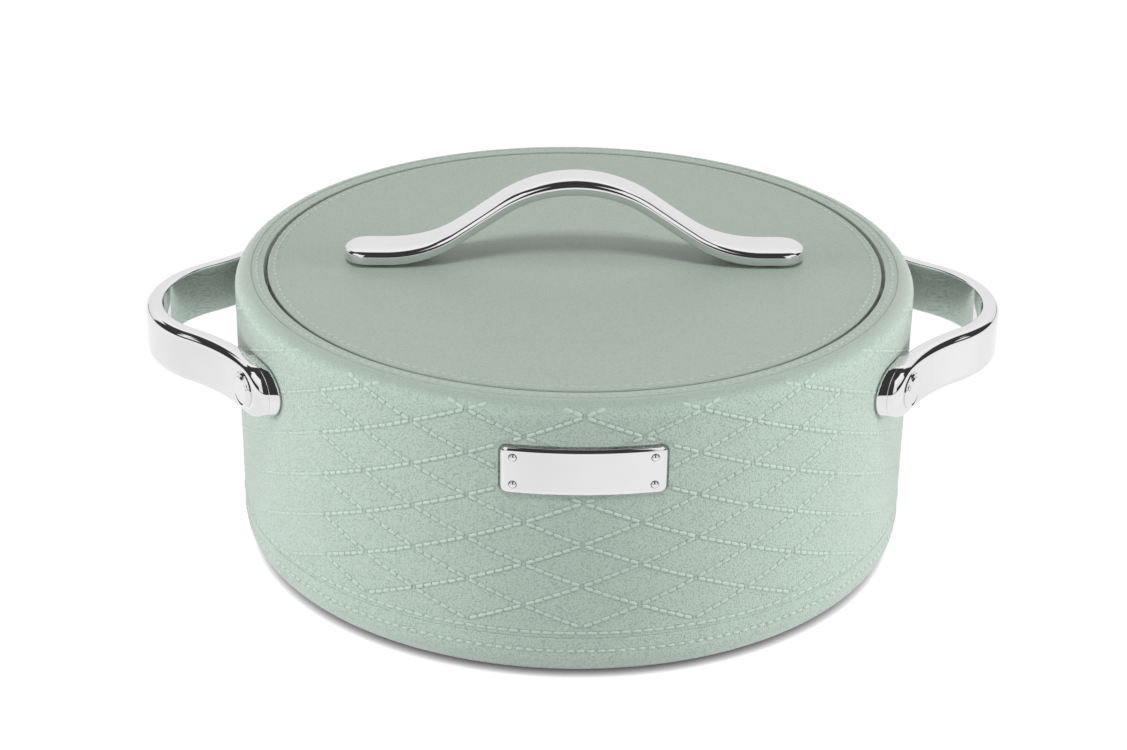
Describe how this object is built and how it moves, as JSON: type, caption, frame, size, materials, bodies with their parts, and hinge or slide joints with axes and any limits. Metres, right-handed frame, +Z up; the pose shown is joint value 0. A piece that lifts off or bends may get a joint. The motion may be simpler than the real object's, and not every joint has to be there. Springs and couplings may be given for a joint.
{
  "type": "insulated serving pot",
  "caption": "Round insulated serving pot with a grained, stitch-embossed wall, flat lift-off lid with an arched bar handle, and chromed strap handles at the sides.",
  "frame": {"origin": "centre of the foot ring, on the table", "axes": "+X along the line of the side handles, -Y out of the front with the plate, +Z up"},
  "size_m": [0.3792, 0.3011, 0.1683],
  "materials": {
    "sage_plastic": "moulded with a fine leather grain and embossed stitches",
    "chrome_plating": "mirror-bright plating",
    "stainless": "spun steel, brushed in rings",
    "foam": "rigid foam, out of sight",
    "silicone": "soft pale grey seal",
    "screw_steel": "plain turned steel"
  },
  "bodies": {
    "pot": {"outer_shell": "sage_plastic", "base_cover": "sage_plastic", "inner_bowl": "stainless", "body_insulation": "foam", "left_handle": "chrome_plating", "right_handle": "chrome_plating", "left_front_pad": "chrome_plating", "left_rear_pad": "chrome_plating", "right_front_pad": "chrome_plating", "right_rear_pad": "chrome_plating", "left_front_cap": "chrome_plating", "left_rear_cap": "chrome_plating", "right_front_cap": "chrome_plating", "right_rear_cap": "chrome_plating", "handle_screws": "screw_steel", "handle_nuts": "screw_steel", "name_plate": "chrome_plating", "plate_rivets": "chrome_plating"},
    "lid": {"lid_shell": "sage_plastic", "lid_liner": "stainless", "lid_insulation": "foam", "lid_seal": "silicone", "lid_handle": "chrome_plating", "lid_handle_screws": "screw_steel"}
  },
  "joints": [
    {"name": "lid_lift", "type": "slide", "parent": "pot", "child": "lid", "axis": [0, 0, 1], "range_m": [0, 0.12]}
  ]
}
